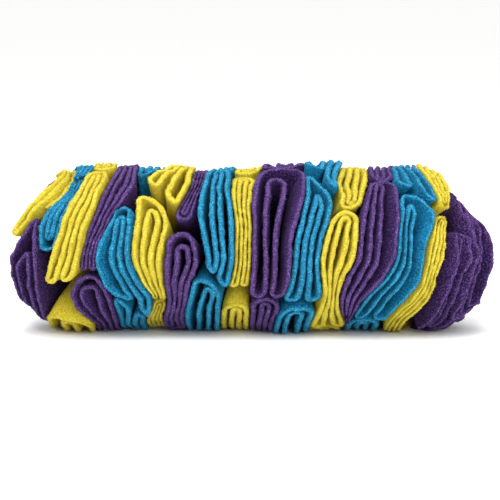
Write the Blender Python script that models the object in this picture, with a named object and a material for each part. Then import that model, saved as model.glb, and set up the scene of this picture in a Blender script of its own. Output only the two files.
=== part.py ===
"""Snuffle stick: rounds of fleece, folded in quarters and held at the middle of each.

The stick lies along X, its front faces -Y and it rests on z = 0. Lengths are millimetres until a
mesh is made. Angles are degrees round the stick: 0 is the front, 90 the top, 180 the back and
-90 the underside.

A round folded in quarters is four layers deep. Its cut edge is one closed line of four runs: at
one end of the wedge the runs turn in two loops side by side, and at the other end one turn lies
inside the other. Every point of the cut edge lies one radius from where the round is held, so the
rounds at the ends lean out into a dome.
"""
import math
from collections import namedtuple

import bpy
import numpy as np

MM = 0.001

ROUND_RADIUS = 53.0
AXIS_HEIGHT = 50.0

# The fleece where it is squeezed between its neighbours at the middle.
PINCHED_FLEECE = 2.0
LEAST_FLEECE = 0.8

# The least space between two layers of a round, and between the rounds of two bands.
LAYER_GAP = 0.55
ROUND_GAP = 1.1

# The rounds are held along a thin ring. Their ends there keep a small break, in degrees, and lean
# less than their cut edges do.
HELD_RADIUS = 8.0
HELD_TURN_HEIGHT = 0.5
HELD_BREAK = 1.5
HELD_SKEW = 0.4
END_SLOT = 14.0

# The cut edges lie on a capsule: round ends about these two places along the stick.
DOME_AT = (-103.0, 103.0)
LEAST_RIM = 24.0

# How tall the turns are at the ends of a folded wedge, and how many points each gets.
ARCH_HEIGHT = 7.0
INNER_ARCH_HEIGHT = 5.0
LOOP_HEIGHT = 3.5
ARCH_POINTS = 5
TURN_POINTS = 3

# Angles, in degrees, where all long runs have a point, and how near a turn the last one may be.
STATION = 15.0
RUN_CLEAR = 4.0

# A layer's corner is never stretched past this cosine of half its turn.
SHARPEST_CORNER = 0.5

FLEECE_COLOURS = {
    "purple": (0.085, 0.035, 0.165),
    "blue": (0.010, 0.330, 0.560),
    "yellow": (0.860, 0.720, 0.040),
}

# Where each band is held along the middle, first band to last.
HELD_AT = (-113.5, -101.5, -89.5, -77.0, -64.0, -50.5, -35.5, -19.5,
           -3.5, 13.0, 29.5, 46.0, 62.5, 79.0, 92.5, 104.0, 115.0)

# Where one band ends and the next begins, measured along the stick at angles round it.
SEAM_ANGLES = (-90, -60, -30, -15, 0, 30, 45, 60, 90, 135, 180, 225)
Seam = namedtuple(
    "Seam", "under low lower_front below_front front upper_front shoulder high top top_back back "
            "back_low")
SEAMS = (
    Seam(-146, -149, -150.5, -150.8, -150.5, -147, -139.7, -131, -117, -134, -143, -146),
    Seam(-124, -128, -130.6, -131.2, -131.5, -131.6, -123.6, -114.7, -108.4, -118, -127, -128),
    Seam(-123.5, -127.5, -130, -127, -123, -114.7, -109.8, -105, -98, -104, -110, -114),
    Seam(-98, -100.3, -113.7, -109, -104.7, -97.5, -94.5, -91, -84, -86, -93, -94),
    Seam(-80, -83, -87, -91.5, -94.6, -85, -76, -71.5, -69, -70, -73, -77),
    Seam(-63, -65.3, -60.3, -67.5, -73, -72, -71.5, -66, -51, -53, -57, -58),
    Seam(-53, -55.6, -52, -53.8, -54.4, -49, -42.5, -38.5, -35.5, -36, -38, -43),
    Seam(-38, -42.2, -39, -37, -31, -35.5, -34.2, -31, -26.5, -20, -21, -26),
    Seam(-17, -19.7, -18, -12.5, -9.8, -11, -11.6, -12.2, -10, -3, -4, -8),
    Seam(-1, -3.1, -2.2, -0.6, 0.6, 1.2, 1.1, 1.5, 6, 15, 14, 9),
    Seam(15, 12.2, 19, 23, 24, 28.7, 31.5, 33, 34, 34, 33, 27),
    Seam(36, 36, 42.5, 42, 41.9, 48.5, 56, 53.5, 57, 53, 51, 46),
    Seam(56, 57, 54, 57.5, 64, 67.8, 70.5, 72.8, 73.5, 71, 70, 65),
    Seam(60, 57.5, 69, 79, 86, 91.5, 91.5, 89, 88.5, 89, 88, 82),
    Seam(80, 78.4, 93, 102, 107.5, 113.5, 114.5, 110, 104, 106, 105, 99),
    Seam(98, 93.4, 108.4, 115, 120.6, 122.3, 123.5, 124, 120, 123, 123, 119),
    Seam(99.5, 116, 129, 135, 138, 133, 128.5, 125.4, 121.5, 124, 124, 120),
    Seam(145, 146, 148, 149.2, 149.7, 146, 140.2, 134, 127, 132, 144, 145),
)

# One row for each round: its band, colour, the angles that it fills, how far each end leans across
# the band, the end whose turns lie one inside the other, how much lower the inner turn lies, how
# far its cut edge stands out past its neighbours, its thickness, and how the spare room is shared
# at each end: before the first layer, in the three spaces of the four layers, and after the last.
Round = namedtuple(
    "Round", "name band colour low high lean_low lean_high nested drop reach fleece room_low room_high")
EVEN = (0, 1, 1, 1, 0)
ROUNDS = (
    Round("p1_front", 1, "purple", -76, 26, 0, 17, "high", 6, -1, 2.4, EVEN, (0, 1, 6, 1, 0)),
    Round("y1_top", 1, "yellow", 33, 118, 17, 0, "high", 0, 1, 3, EVEN, EVEN),
    Round("p1_back", 1, "purple", 120, 200, 0, 0, "low", 0, 0, 3, EVEN, EVEN),
    Round("p1_low", 1, "purple", 202, 281, 0, 0, "high", 0, -2, 3, EVEN, EVEN),
    Round("b2_front", 2, "blue", 5, 66, 0, 0, "low", 4, -2, 3, EVEN, EVEN),
    Round("b2_top", 2, "blue", 68, 158, 0, 0, "high", 0, -1, 3, EVEN, EVEN),
    Round("b2_back", 2, "blue", 160, 246, 0, 0, "high", 0, 1, 3, EVEN, EVEN),
    Round("y3_front", 3, "yellow", -17, 72, 2, 0, "high", 0, 1, 3, (0, 3, 1, 2, 0), EVEN),
    Round("y3_top", 3, "yellow", 74, 162, 0, 0, "low", 0, 0, 3, EVEN, EVEN),
    Round("y3_back", 3, "yellow", 164, 252, 0, 0, "high", 0, -2, 3, EVEN, EVEN),
    Round("y3_low", 3, "yellow", -106, -40, 0, 0, "high", 0, 0, 3, (0, 3, 1, 1, 0), (0, 6, 1, 1, 0)),
    Round("p4_front", 4, "purple", -8, 96, 0, 0, "high", 0, -2, 3, (3, 1, 1, 1, 0), (0, 1, 3, 1, 1)),
    Round("p4_top", 4, "purple", 98, 178, 0, 0, "high", 0, -1, 3, EVEN, EVEN),
    Round("p4_back", 4, "purple", 180, 258, 0, 0, "low", 0, 1, 3, EVEN, EVEN),
    Round("p4_low", 4, "purple", -100, -11, 0, 0, "high", 4, -2, 3, EVEN, (1, 1, 3, 1, 0)),
    Round("b5_front", 5, "blue", -36, 37, -12, 0, "high", 3, 0, 3, (0, 5, 1, 1, 0), EVEN),
    Round("b5_top", 5, "blue", 70, 140, 6, 0, "low", 0, -2, 3, EVEN, EVEN),
    Round("b5_back", 5, "blue", 142, 232, 0, 0, "high", 0, -1, 3, EVEN, EVEN),
    Round("b5_low", 5, "blue", -126, -39, 0, -12, "low", 0, -3, 3, EVEN, EVEN),
    Round("y6_front", 6, "yellow", -31, 43, 0, -10, "high", 2, -2, 3, EVEN, (0, 1, 2, 1, 1)),
    Round("y6_top", 6, "yellow", 48, 128, -11, 0, "high", 0, 0, 3, EVEN, (0, 1, 1, 3, 0)),
    Round("y6_back", 6, "yellow", 130, 238, 0, 0, "low", 0, 1, 3, EVEN, EVEN),
    Round("y6_low", 6, "yellow", -120, -33, 0, 0, "high", 0, -4, 3, EVEN, EVEN),
    Round("p7_front", 7, "purple", -69, 19, 0, 0, "high", 4, -1, 3, (0, 3, 1, 1, 0), (1, 1, 4, 1, 3)),
    Round("p7_top", 7, "purple", 27, 108, 0, 0, "low", 0, -3, 3, EVEN, EVEN),
    Round("p7_back", 7, "purple", 110, 198, 0, 0, "high", 0, -2, 3, EVEN, EVEN),
    Round("p7_low", 7, "purple", 200, 288, 0, 0, "high", 0, -1, 3, EVEN, EVEN),
    Round("b8_front", 8, "blue", -13, 80, -7, 0, "high", 0, 1, 3, (3, 1, 1, 2, 0), (0, 4, 1, 2, 0)),
    Round("b8_top", 8, "blue", 82, 167, 0, 0, "high", 0, -1, 3, EVEN, EVEN),
    Round("b8_back", 8, "blue", 169, 253, 0, 0, "low", 0, 0, 3, EVEN, EVEN),
    Round("b8_low", 8, "blue", -105, -16, 0, -7, "high", 0, -1, 3, EVEN, (0, 3, 2, 1, 0)),
    Round("y9_front", 9, "yellow", -21, 74, 0, 0, "high", 0, -3, 3, (0, 1, 3, 1, 0), EVEN),
    Round("y9_top", 9, "yellow", 76, 161, 0, 0, "low", 0, -2, 3, EVEN, EVEN),
    Round("y9_back", 9, "yellow", 163, 248, 0, 0, "high", 0, -3, 3, EVEN, EVEN),
    Round("y9_low", 9, "yellow", -110, -36, 0, 0, "high", 0, -3, 3, EVEN, (0, 3, 1, 1, 0)),
    Round("p10_front", 10, "purple", -27, 75, 0, 0, "high", 9, 1, 3, (0, 4, 1, 3, 0), (0, 1, 5, 4, 0)),
    Round("p10_back", 10, "purple", 79, 212, 0, 0, "low", 0, 0, 3, EVEN, EVEN),
    Round("p10_low", 10, "purple", -146, -29, 0, 0, "high", 0, -2, 3, EVEN, (0, 2, 1, 2, 0)),
    Round("b11_front", 11, "blue", -33, 58, 0, -18, "high", 0, -2, 3, (0, 2, 1, 2, 0), (0, 1, 1, 4, 0)),
    Round("b11_top", 11, "blue", 64, 163, -18, 0, "high", 0, 1, 3, EVEN, EVEN),
    Round("b11_back", 11, "blue", 165, 243, 0, 0, "low", 0, -1, 3, EVEN, EVEN),
    Round("b11_low", 11, "blue", -115, -35, 0, 0, "high", 0, 0, 3, EVEN, (0, 1, 4, 1, 0)),
    Round("y12_front", 12, "yellow", -62, 34, 0, 0, "high", 0, -0.5, 3, EVEN, (0, 1, 2, 1, 0)),
    Round("y12_top", 12, "yellow", 36, 120, 0, 0, "low", 0, -3, 3, EVEN, EVEN),
    Round("y12_back", 12, "yellow", 122, 208, 0, 0, "high", 0, 1, 3, EVEN, EVEN),
    Round("y12_low", 12, "yellow", 210, 296, 0, 0, "high", 0, -2, 3, EVEN, EVEN),
    Round("p13_front", 13, "purple", -47, 64, 0, 0, "high", 0, 0, 3, (0, 4, 1, 1, 0), (0, 1, 2, 4, 0)),
    Round("p13_top", 13, "purple", 66, 158, 0, 0, "low", 0, -1, 3, EVEN, EVEN),
    Round("p13_back", 13, "purple", 160, 250, 0, 0, "high", 0, -2, 3, EVEN, EVEN),
    Round("b14_front", 14, "blue", -49, 44, 0, -9, "high", 0, -1, 3, (0, 2, 1, 2, 0), (0, 1, 1, 6, 0)),
    Round("b14_top", 14, "blue", 50, 134, -9, 0, "high", 0, -1, 3, EVEN, EVEN),
    Round("b14_back", 14, "blue", 136, 221, 0, 0, "low", 0, 0, 3, EVEN, EVEN),
    Round("b14_low", 14, "blue", 223, 309, 0, 0, "high", 0, -2, 3, EVEN, EVEN),
    Round("y15_front", 15, "yellow", -80, 33, 0, 0, "high", 0, -2, 3, (0, 2, 2, 1, 0), EVEN),
    Round("y15_top", 15, "yellow", 38, 146, 0, 0, "low", 0, 0, 3, EVEN, EVEN),
    Round("y15_back", 15, "yellow", 148, 278, 0, 0, "high", 0, -1, 3, EVEN, EVEN),
    Round("p16_front", 16, "purple", -66, 22, 0, 0, "high", 0, -1, 2.2, (4, 1, 1, 1, 0), (4, 1, 1, 1, 0)),
    Round("p17_front", 17, "purple", -58, 54, 0, -9, "high", 0, 0, 2.2, EVEN, EVEN),
    Round("p17_back", 17, "purple", 125, 185, 0, 0, "low", 0, -1, 3, EVEN, EVEN),
    Round("p17_low", 17, "purple", 187, 300, 0, 0, "high", 0, 0, 3, EVEN, EVEN),
)

# A round that is held over a longer stretch, where the band beside it is empty.
HELD_ASIDE = {"y3_low": (-104.0, -83.25)}

# Where the cut edges lie lower than a full radius, or bulge where the depth is negative: the middle
# of each such place, how far it reaches along and round the stick, and its depth.
Hollow = namedtuple("Hollow", "place angle along round depth")
HOLLOWS = (
    Hollow(-128, 75, 18, 40, 6),
    Hollow(-25, 85, 28, 38, 2.5),
    Hollow(-48, -58, 14, 25, 2),
    Hollow(18, -62, 14, 24, -3),
    Hollow(82, 72, 10, 30, 4),
    Hollow(90, -58, 14, 24, -2),
    Hollow(138, 85, 20, 62, 13),
)

# Where single layers of a round lie lower: the middle layer, angle, reach in layers, reach round
# the stick, and depth.
Dip = namedtuple("Dip", "name layer angle layers round depth")
DIPS = (
    Dip("p16_front", 1.5, -15, 0.9, 35, 5),
    Dip("p17_front", 1.5, -5, 0.9, 40, 4),
)


def smooth_seam(index, angle):
    """A smooth curve through one row of the seams, closed round the stick."""
    knots = np.array(SEAM_ANGLES, dtype=float)
    row = np.array(SEAMS[index], dtype=float)
    turn = (np.asarray(angle, dtype=float) - knots[0]) % 360.0 + knots[0]
    wide_knots = np.concatenate(([knots[-1] - 360.0], knots, knots[:2] + 360.0))
    wide_row = np.concatenate(([row[-1]], row, row[:2]))
    cell = np.clip(np.searchsorted(wide_knots, turn, side="right") - 1, 1, len(knots))
    start, end = wide_knots[cell], wide_knots[cell + 1]
    slope_start = (wide_row[cell + 1] - wide_row[cell - 1]) / (end - wide_knots[cell - 1])
    slope_end = (wide_row[cell + 2] - wide_row[cell]) / (wide_knots[cell + 2] - start)
    step = end - start
    part = (turn - start) / step
    rise = wide_row[cell + 1] - wide_row[cell]
    bend = (1 - part) * (slope_start * step - rise) + part * (rise - slope_end * step)
    return wide_row[cell] + part * rise + part * (1 - part) * bend


def seam_at(index, angle):
    """Place of one seam at an angle: straight between the stations, where all runs have a point."""
    low = np.floor(np.asarray(angle, dtype=float) / STATION) * STATION
    part = (angle - low) / STATION
    return smooth_seam(index, low) * (1 - part) + smooth_seam(index, low + STATION) * part


def held_slot(spec):
    """Both ends of the short stretch of the stick's middle where a round is held."""
    if spec.name in HELD_ASIDE:
        return HELD_ASIDE[spec.name]
    index = spec.band - 1
    before = HELD_AT[index - 1] if index > 0 else HELD_AT[0] - END_SLOT
    after = HELD_AT[index + 1] if index < len(HELD_AT) - 1 else HELD_AT[-1] + END_SLOT
    return (before + HELD_AT[index]) / 2, (after + HELD_AT[index]) / 2


def rim_distance(place, angle):
    """Distance from the axis of the cut edge: a capsule with a few shallow hollows."""
    beyond = place - np.clip(place, *DOME_AT)
    distance = np.sqrt(np.maximum(ROUND_RADIUS ** 2 - beyond ** 2, LEAST_RIM ** 2))
    for hollow in HOLLOWS:
        along = (place - hollow.place) / hollow.along
        turned = ((angle - hollow.angle + 180) % 360 - 180) / hollow.round
        distance = distance - hollow.depth * np.exp(-along ** 2 - turned ** 2)
    return distance


def seam_slope(index, angle):
    """The steeper slope of a seam on the two sides of an angle, in millimetres for a degree."""
    step = STATION / 2
    here = seam_at(index, angle)
    rises = [np.abs(seam_at(index, angle + side * step) - here) for side in (-1, 1)]
    return np.maximum(*rises) / step


def layer_places(spec, angle):
    """Places of the four layers across the band at an angle, and how thick they are there.

    Layers keep a small gap, the spare room is shared by the row's figures, and where the band is
    too narrow for four full layers the fleece is squeezed.
    """
    angle = np.asarray(angle, dtype=float)
    left = seam_at(spec.band - 1, angle) + ROUND_GAP / 2
    right = seam_at(spec.band, angle) - ROUND_GAP / 2
    distance = rim_distance((left + right) / 2, angle)
    slope = np.maximum(seam_slope(spec.band - 1, angle), seam_slope(spec.band, angle))
    stretch = np.sqrt(1 + (slope / np.radians(distance)) ** 2)
    width = right - left
    wide = np.minimum(spec.fleece * stretch, (width - 3 * LAYER_GAP * stretch) / 4)
    spare = width - 4 * wide - 3 * LAYER_GAP * stretch
    part = np.clip((angle - spec.low) / (spec.high - spec.low), 0, 1)
    low = np.array(spec.room_low, dtype=float) / sum(spec.room_low)
    high = np.array(spec.room_high, dtype=float) / sum(spec.room_high)
    share = low[:, None] * (1 - part) + high[:, None] * part
    first = left + wide / 2 + spare * share[0]
    steps = wide + LAYER_GAP * stretch + spare * share[1:4]
    places = np.concatenate((first[None], first[None] + np.cumsum(steps, axis=0)))
    return places, wide / stretch


def edge_line(spec, stations):
    """Closed line of a round's cut edge, or of the fold at its held middle.

    Each point is a place along the stick, an angle, a thickness and a layer. A turn goes round
    half an ellipse between its two runs. The cut edge comes first, with empty stations, and
    fills them with the angles of its runs, so that the held fold gets the same points.
    """
    rim = not stations
    slot_left, slot_right = held_slot(spec)
    slot = slot_right - slot_left
    flip = spec.nested == "low"
    plain_end, plain_lean = (spec.high, spec.lean_high) if flip else (spec.low, spec.lean_low)
    nested_end, nested_lean = (spec.low, spec.lean_low) if flip else (spec.high, spec.lean_high)
    inward = -1.0 if flip else 1.0
    lean_share = 1.0 if rim else HELD_SKEW
    thick = spec.fleece if rim else PINCHED_FLEECE

    def layer_x(layer, angle):
        if rim:
            places, thickness = layer_places(spec, angle)
            return places[layer], thickness
        place = slot_left + slot * (layer + 0.5) / 4 + 0 * angle
        return place, PINCHED_FLEECE + 0 * angle

    def end_angle(layer, nested):
        share = 2 * layer / 3 - 1
        end, lean = (nested_end, nested_lean) if nested else (plain_end, plain_lean)
        back = 0 if rim else (-inward if nested else inward) * HELD_BREAK
        return end + back + lean * lean_share * share

    def turn(first, last, nested, depth, height, count):
        share = (1 - np.cos(np.linspace(0, math.pi, count))) / 2
        layer = first + (last - first) * share
        end = end_angle(layer, nested)
        from_x, _ = layer_x(first, end)
        to_x, _ = layer_x(last, end)
        place = from_x + (to_x - from_x) * share
        level = rim_distance(place, end) if rim else np.full(count, HELD_RADIUS)
        slant = np.radians(abs(end[-1] - end[0])) * level.mean() / abs(to_x - from_x).mean()
        away = depth * math.sqrt(1 + slant ** 2) + height * (1 - 2 * np.sqrt(share * (1 - share)))
        angle = end + (-inward if nested else inward) * np.degrees(away / level)
        from_x, from_thick = layer_x(first, angle)
        to_x, to_thick = layer_x(last, angle)
        place = from_x + (to_x - from_x) * share
        return np.stack((place, angle, np.minimum(from_thick, to_thick), layer), axis=1)

    def run(layer, start, end):
        low, high = min(start, end), max(start, end)
        if rim:
            first = math.ceil((low + RUN_CLEAR) / STATION)
            last = math.floor((high - RUN_CLEAR) / STATION)
            angle = np.arange(first, last + 1) * STATION
            stations[layer] = (angle, low, high)
        else:
            angle, rim_low, rim_high = stations[layer]
            part = (angle - rim_low) / (rim_high - rim_low)
            angle = angle + (low - rim_low) * (1 - part) ** 2 + (high - rim_high) * part ** 2
        if start > end:
            angle = angle[::-1]
        place, thickness = layer_x(layer, angle)
        return np.stack((place, angle, thickness, np.full(len(angle), float(layer))), axis=1)

    def room(first, last, nested):
        from_x, _ = layer_x(first, np.array([end_angle(first, nested)]))
        to_x, _ = layer_x(last, np.array([end_angle(last, nested)]))
        return abs(float(to_x[0] - from_x[0])) / 2

    tight = HELD_TURN_HEIGHT
    arch = min(ARCH_HEIGHT, room(0, 3, True)) if rim else tight
    inner = min(INNER_ARCH_HEIGHT, room(1, 2, True)) if rim else tight
    loop_a = min(LOOP_HEIGHT, room(0, 1, False)) if rim else tight
    loop_b = min(LOOP_HEIGHT, room(2, 3, False)) if rim else tight
    inner_depth = thick * 1.5 + LAYER_GAP + (spec.drop if rim else tight)

    outer_turn = turn(0, 3, True, thick / 2, arch, ARCH_POINTS)
    right_loop = turn(3, 2, False, thick / 2, loop_b, TURN_POINTS)
    inner_turn = turn(2, 1, True, inner_depth, inner, TURN_POINTS)
    left_loop = turn(1, 0, False, thick / 2, loop_a, TURN_POINTS)
    line = np.concatenate((
        outer_turn, run(3, outer_turn[-1, 1], right_loop[0, 1]),
        right_loop, run(2, right_loop[-1, 1], inner_turn[0, 1]),
        inner_turn, run(1, inner_turn[-1, 1], left_loop[0, 1]),
        left_loop, run(0, left_loop[-1, 1], outer_turn[0, 1]),
    ))
    return line[::-1] if flip else line


def to_space(place, angle, distance):
    """Turns a place along the stick, an angle and a distance from the axis into x, y and z."""
    turn = np.radians(angle)
    return np.stack((place, -distance * np.cos(turn), AXIS_HEIGHT + distance * np.sin(turn)), axis=1)


def sides(line, spokes, thickness):
    """The two faces of a layer: each point moved half a thickness square to the cloth."""
    before = line - np.roll(line, 1, axis=0)
    after = np.roll(line, -1, axis=0) - line
    normals = []
    for edge in (before, after):
        normal = np.cross(edge, spokes)
        normals.append(normal / np.linalg.norm(normal, axis=1, keepdims=True))
    middle = normals[0] + normals[1]
    middle /= np.linalg.norm(middle, axis=1, keepdims=True)
    mitre = np.clip(np.sum(middle * normals[0], axis=1), SHARPEST_CORNER, 1.0)
    offset = middle * (thickness / 2 / mitre)[:, None]
    return line + offset, line - offset


def layer_dip(spec, angle, layer):
    """How much lower the cut edge lies where single layers of a round dip."""
    depth = 0.0 * angle
    for dip in DIPS:
        if dip.name == spec.name:
            off = ((layer - dip.layer) / dip.layers) ** 2 + ((angle - dip.angle) / dip.round) ** 2
            depth = depth + dip.depth * np.exp(-off)
    return depth


def held_thickness(spec, rim, distance, held):
    """How thick the fleece is where it is held: squeezed more where the round leans over more."""
    slot_left, slot_right = held_slot(spec)
    out = distance - HELD_RADIUS
    upright = out / np.hypot(out, rim[:, 0] - held[:, 0])
    return np.clip((slot_right - slot_left) / 4 * upright - LAYER_GAP, LEAST_FLEECE, PINCHED_FLEECE)


def fleece_round(spec):
    """One folded round as a closed band of cloth from its held middle to its cut edge."""
    stations = {}
    rim = edge_line(spec, stations)
    held = edge_line(spec, stations)
    distance = rim_distance(rim[:, 0], rim[:, 1])
    rim_line = to_space(rim[:, 0], rim[:, 1], distance)
    held_line = to_space(held[:, 0], held[:, 1], HELD_RADIUS)
    spokes = rim_line - held_line
    spokes /= np.linalg.norm(spokes, axis=1, keepdims=True)
    rim_line += (spec.reach - layer_dip(spec, rim[:, 1], rim[:, 3]))[:, None] * spokes
    outer_rim, inner_rim = sides(rim_line, spokes, rim[:, 2])
    outer_held, inner_held = sides(held_line, spokes, held_thickness(spec, rim, distance, held))
    for points in (outer_rim, inner_rim):
        points[:, 2] = np.maximum(points[:, 2], 0.0)
    rings = (outer_rim, inner_rim, inner_held, outer_held)
    return np.concatenate(rings) * MM, ring_faces(len(rim_line), rim[:, 1])


def ring_faces(count, angle):
    """Four strips of triangles that join the rings into one closed skin.

    Every square is split from the held end of its lower angle to the rim end of its higher angle,
    so that neighbouring layers bend along the same lines.
    """
    faces = []
    for ring in range(4):
        this, that = ring * count, ((ring + 1) % 4) * count
        rim_first = ring in (0, 1)
        for point in range(count):
            follow = (point + 1) % count
            rising = angle[follow] > angle[point]
            corners = (this + point, this + follow, that + follow, that + point)
            if rising == rim_first:
                corners = corners[1:] + corners[:1]
            faces += [corners[:3], (corners[2], corners[3], corners[0])]
    return faces


def fleece_material(colour):
    material = bpy.data.materials.new("fleece_" + colour)
    material.use_nodes = True
    shader = material.node_tree.nodes["Principled BSDF"]
    shader.inputs["Base Color"].default_value = (*FLEECE_COLOURS[colour], 1.0)
    shader.inputs["Roughness"].default_value = 0.95
    shader.inputs["Metallic"].default_value = 0.0
    return material


def main():
    for old in list(bpy.data.objects):
        bpy.data.objects.remove(old, do_unlink=True)
    for spec in ROUNDS:
        points, faces = fleece_round(spec)
        mesh = bpy.data.meshes.new(spec.name)
        mesh.from_pydata(points.tolist(), [], faces)
        mesh.materials.append(fleece_material(spec.colour))
        mesh.update()
        piece = bpy.data.objects.new(spec.name, mesh)
        bpy.context.scene.collection.objects.link(piece)


main()
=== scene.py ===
# %% [markdown]
# # Snuffle stick
# A snuffle stick is a dog toy made of nothing but fleece, and treats are hidden between its layers.
# Plain rounds are cut out, each is folded in half and in half again, and the folded points are held
# one after another along a line.
# The stick lies along X with its front towards -Y, and it rests on z = 0. All sizes below are in
# millimetres until a mesh is made, and angles are degrees round the stick: 0 is the front, 90 the
# top, 180 the back and -90 the underside.

# %% Load the frame and keep its parts in place
import math
from collections import namedtuple

import bpy
import numpy as np
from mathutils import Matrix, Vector


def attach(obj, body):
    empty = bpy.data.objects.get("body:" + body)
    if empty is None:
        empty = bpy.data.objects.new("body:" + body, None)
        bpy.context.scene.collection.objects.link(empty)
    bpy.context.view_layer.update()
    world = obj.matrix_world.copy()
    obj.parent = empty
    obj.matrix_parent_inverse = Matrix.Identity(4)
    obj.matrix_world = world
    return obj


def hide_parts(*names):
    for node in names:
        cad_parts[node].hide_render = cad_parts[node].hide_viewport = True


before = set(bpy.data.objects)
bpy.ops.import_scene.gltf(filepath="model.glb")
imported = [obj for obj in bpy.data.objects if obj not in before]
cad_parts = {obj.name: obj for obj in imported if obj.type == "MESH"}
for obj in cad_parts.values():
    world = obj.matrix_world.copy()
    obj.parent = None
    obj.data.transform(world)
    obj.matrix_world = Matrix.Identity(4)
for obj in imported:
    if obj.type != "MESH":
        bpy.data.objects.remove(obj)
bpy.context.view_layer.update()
MM = 0.001
print("folded rounds in the frame:", len(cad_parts))

# %% [markdown]
# ## The camera
# The photograph looks straight at the front of the stick from a little above, through a long lens,
# so the far side hardly shrinks. Aiming could be done with a constraint, but a fixed place and turn
# worked out from the lens is easier to read and never moves.

# %% Place the camera in front
FRAME_WIDTH = 312.5
CAMERA_AWAY = 1600.0
LOOK_DOWN = math.radians(8.0)
AXIS_HEIGHT = 50.0
LOOK_AT = Vector((-0.9, 0.0, AXIS_HEIGHT - 1.25)) * MM

camera_data = bpy.data.cameras.new("long_lens")
camera_data.lens = camera_data.sensor_width * CAMERA_AWAY / FRAME_WIDTH
camera_data.dof.use_dof = False
camera = bpy.data.objects.new("long_lens", camera_data)
away = Vector((0.0, -math.cos(LOOK_DOWN), math.sin(LOOK_DOWN))) * CAMERA_AWAY * MM
camera.location = LOOK_AT + away
camera.rotation_euler = (math.pi / 2 - LOOK_DOWN, 0.0, 0.0)
bpy.context.scene.collection.objects.link(camera)
bpy.context.scene.camera = camera
print("lens in millimetres:", round(camera_data.lens, 1))

# %% [markdown]
# ## Colours and nodes
# A colour given here is an sRGB hex value, while the shader works with linear light, so one
# function turns the first into the second. Another adds a node with its settings and its links.
# Four short ones built on it add the steps that the fleece repeats: noise, a range, a product and
# a mix of two colours.

# %% Helpers for colours and nodes
def linear(hex_colour):
    """sRGB hex to linear light: ((c + 0.055) / 1.055) ** 2.4 for each channel, c / 12.92 if dark."""
    channels = [int(hex_colour[i:i + 2], 16) / 255 for i in (1, 3, 5)]
    return [c / 12.92 if c <= 0.04045 else ((c + 0.055) / 1.055) ** 2.4 for c in channels] + [1.0]


def add_node(tree, kind, settings=None, links=None, values=None):
    """Adds a node, sets its properties and socket values, and links sockets that others feed."""
    node = tree.nodes.new(kind)
    for name, value in (settings or {}).items():
        setattr(node, name, value)
    for name, value in (values or {}).items():
        node.inputs[name].default_value = value
    for name, source in (links or {}).items():
        tree.links.new(source, node.inputs[name])
    return node


def noise(tree, place, size, detail, roughness, distortion=0.0):
    """Soft noise of 0 to 1 whose features are about one size across, given in millimetres."""
    return add_node(tree, "ShaderNodeTexNoise", links={"Vector": place}, values={
        "Scale": 1 / (size * MM), "Detail": detail, "Roughness": roughness,
        "Distortion": distortion}).outputs["Fac"]


def ramp(tree, source, start, end, low=0.0, high=1.0):
    """Low where the source is at its start, high where it is at its end, and straight between."""
    return add_node(tree, "ShaderNodeMapRange", links={"Value": source}, values={
        "From Min": start, "From Max": end, "To Min": low, "To Max": high}).outputs["Result"]


def product(tree, first, second):
    """Two values multiplied."""
    return add_node(tree, "ShaderNodeMath", {"operation": "MULTIPLY"},
                    {0: first, 1: second}).outputs["Value"]


def blend(tree, share, first, second):
    """The first colour, a socket or a plain value, with a share of the second, a plain value."""
    mix = add_node(tree, "ShaderNodeMix", {"data_type": "RGBA"}, {"Factor": share}, {"B": second})
    if isinstance(first, list):
        mix.inputs["A"].default_value = first
    else:
        tree.links.new(first, mix.inputs["A"])
    return mix.outputs["Result"]


print("black, grey and white in linear light:",
      [round(linear(tone)[0], 3) for tone in ("#000000", "#808080", "#ffffff")])

# %% [markdown]
# ## Light and floor
# The light in the photograph is soft, as in a white light tent: it comes from above and in front,
# and the undersides of the rounds stay darker. Area lamps give that softness, where a single sun
# would draw hard shadows. A bright world fills the gaps between the layers, and the floor is plain
# and nearly white. The photograph has no floor, so this one is only there to carry the stick.

# %% Soft studio light and a pale floor
LAMPS = (
    # name, place in metres, width in metres, watts
    ("top_screen", (-0.2, -0.45, 1.25), 0.9, 12.5),
    ("front_screen", (0.5, -1.4, 0.55), 0.8, 5.0),
    ("back_screen", (0.1, 1.1, 0.9), 0.9, 7.0),
)
for name, place, width, watts in LAMPS:
    lamp_data = bpy.data.lights.new(name, "AREA")
    lamp_data.size = width
    lamp_data.energy = watts
    lamp = bpy.data.objects.new(name, lamp_data)
    lamp.location = place
    lamp.rotation_euler = (LOOK_AT - Vector(place)).to_track_quat("-Z", "Y").to_euler()
    bpy.context.scene.collection.objects.link(lamp)

WORLD_LIGHT = 1.0
world = bpy.data.worlds.new("white_tent")
world.use_nodes = True
world.node_tree.nodes["Background"].inputs["Color"].default_value = linear("#ffffff")
world.node_tree.nodes["Background"].inputs["Strength"].default_value = WORLD_LIGHT
bpy.context.scene.world = world
bpy.context.scene.view_settings.view_transform = "Standard"

FLOOR_HALF = 12000.0
FLOOR_DROP = 0.4
floor_mesh = bpy.data.meshes.new("floor")
corners = np.array([(-1, -1, 0), (1, -1, 0), (1, 1, 0), (-1, 1, 0)]) * FLOOR_HALF * MM
floor_mesh.from_pydata((corners - (0, 0, FLOOR_DROP * MM)).tolist(), [], [(0, 1, 2, 3)])
floor = bpy.data.objects.new("floor", floor_mesh)
bpy.context.scene.collection.objects.link(floor)
paper = bpy.data.materials.new("matt_white_paper")
paper.use_nodes = True
paper.node_tree.nodes["Principled BSDF"].inputs["Base Color"].default_value = linear("#fbfbfa")
paper.node_tree.nodes["Principled BSDF"].inputs["Roughness"].default_value = 0.9
floor_mesh.materials.append(paper)
print("lamps:", [row[0] for row in LAMPS])
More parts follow.
